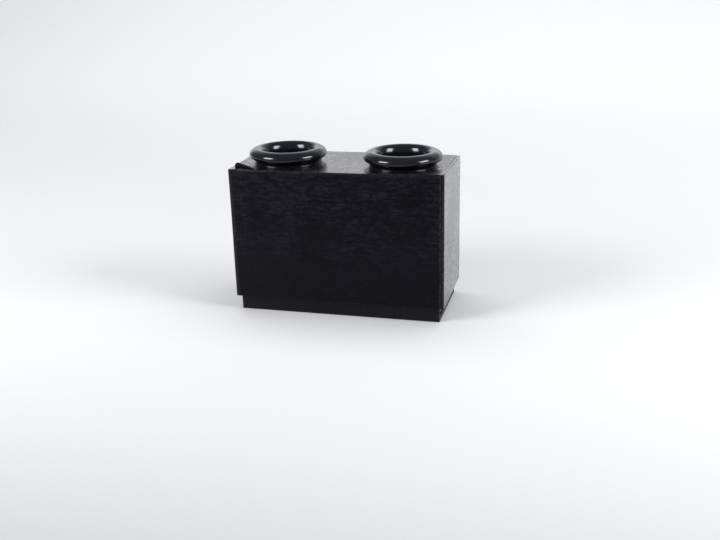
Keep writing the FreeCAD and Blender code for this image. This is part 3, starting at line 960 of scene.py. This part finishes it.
def add_camera():
    data = bpy.data.cameras.new("camera")
    data.sensor_width = SENSOR
    data.lens = CAMERA_LENS
    data.clip_start = 0.01
    data.clip_end = 50
    camera = bpy.data.objects.new("camera", data)
    bpy.context.scene.collection.objects.link(camera)
    ahead = math.cos(CAMERA_PITCH)
    forward = Vector((math.sin(CAMERA_YAW) * ahead, math.cos(CAMERA_YAW) * ahead, -math.sin(CAMERA_PITCH)))
    level = Vector((math.cos(CAMERA_YAW), -math.sin(CAMERA_YAW), 0))
    up = level.cross(forward)
    right = level * math.cos(CAMERA_ROLL) + up * math.sin(CAMERA_ROLL)
    up = up * math.cos(CAMERA_ROLL) - level * math.sin(CAMERA_ROLL)
    turn = Matrix((right, up, -forward)).transposed()
    camera.matrix_world = Matrix.Translation(CAMERA_PLACE) @ turn.to_4x4()
    bpy.context.scene.camera = camera


def add_softbox(name, direction, distance, size, power):
    data = bpy.data.lights.new(name, "AREA")
    data.shape = "RECTANGLE"
    data.size, data.size_y = size
    data.energy = power
    light = bpy.data.objects.new(name, data)
    bpy.context.scene.collection.objects.link(light)
    aim = Vector(direction).normalized()
    light.location = Vector((0, 0, 45 * MM)) + aim * distance
    light.rotation_mode = "QUATERNION"
    light.rotation_quaternion = aim.to_track_quat("Z", "Y")
    return light


def add_sweep(material):
    """A pale floor that curves up into a backdrop."""
    half_width = 2.4
    front = -2.4
    back = 1.3
    bend = 0.7
    height = 2.2
    profile = [(front, 0.0), (back - bend, 0.0)]
    profile += [(back - bend + bend * math.sin(t), bend - bend * math.cos(t))
                for t in (math.pi / 2 * i / 16 for i in range(1, 17))]
    profile.append((back, height))
    bm = bmesh.new()
    grid_mesh(bm, [-half_width, half_width], range(len(profile)),
              lambda u, v: (u, profile[v][0], profile[v][1]))
    sweep = new_object("sweep", bm, [material])


def add_world():
    world = bpy.data.worlds.new("studio")
    world.use_nodes = True
    world.node_tree.nodes["Background"].inputs["Color"].default_value = (0.93, 0.95, 1.0, 1)
    world.node_tree.nodes["Background"].inputs["Strength"].default_value = 0.25
    bpy.context.scene.world = world
    bpy.context.scene.view_settings.view_transform = "Standard"


# ---------------------------------------------------------------- the object

def build():
    cloth_x = leatherette("leatherette_front", "X")
    cloth_y = leatherette("leatherette_ends", "Y")
    cloth_top = leatherette("leatherette_top", "top")
    bare = backing()
    for face in FACES:
        face_covering(face, [cloth_x])
    for side in SIDES:
        end_covering(side, [cloth_y])
    top_covering([cloth_top, bare])

    black = ebonite()
    glass = clear_glass()
    for side in SIDES:
        eyecup(side, black)
        lens(side, glass)

    paper_wrap(black_paper())
    felt = felt_cloth()
    for name in (*FACES, *SIDES):
        felt_strip(name, felt)

    board = pasteboard()
    battens = stained_wood("batten_wood", (0.055, 0.040, 0.030), (0.022, 0.016, 0.013))
    top_wood = stained_wood("lens_board_wood", (0.030, 0.024, 0.020), (0.012, 0.010, 0.009))
    brass = old_metal("brass", (0.55, 0.40, 0.17), (0.20, 0.14, 0.07), 1.0, 0.3, 0.5)
    steel = old_metal("blackened_steel", (0.06, 0.06, 0.065), (0.03, 0.028, 0.027), 0.8, 0.35, 0.55)
    for face in FACES:
        dress_cad(f"{face}_board", board)
        dress_cad(f"inner_{face}_board", board, 0.15 * MM)
        dress_cad(f"glass_rail_{face}", battens, 0.2 * MM)
        dress_cad(f"guide_rail_{face}", battens, 0.25 * MM)
    for side in SIDES:
        dress_cad(f"{side}_board", board)
        dress_cad(f"inner_{side}_board", board, 0.15 * MM)
        dress_cad(f"end_sill_{side}", board, 0.12 * MM)
        dress_cad(f"eyecup_nut_{side}", brass)
        dress_cad(f"lens_ring_{side}", steel)
    dress_cad("lens_board", top_wood)
    dress_cad("light_partition", board, 0.15 * MM)
    dress_cad("corner_blocks", battens, 0.4 * MM)
    dress_cad("ground_glass", frosted_glass(), 0.15 * MM)
    dress_cad("picture_mask", board)


add_camera()
add_sweep(studio_white())
add_world()
for name, direction in (("softbox_left", (-0.666, -0.579, 0.469)), ("softbox_right", (0.867, -0.168, 0.469))):
    add_softbox(name, direction, SOFTBOX_DISTANCE, (SOFTBOX_SIZE, SOFTBOX_SIZE), SOFTBOX_POWER)
add_softbox("horizon_light", (0.0, 1.25, 0.30), 1.28, (2.4, 0.30), 2.8)
backdrop_light = add_softbox("backdrop_light", (0.0, 0.30, 0.95), 1.7, (2.6, 0.9), 22.0)
backdrop_light.visible_glossy = False
build()
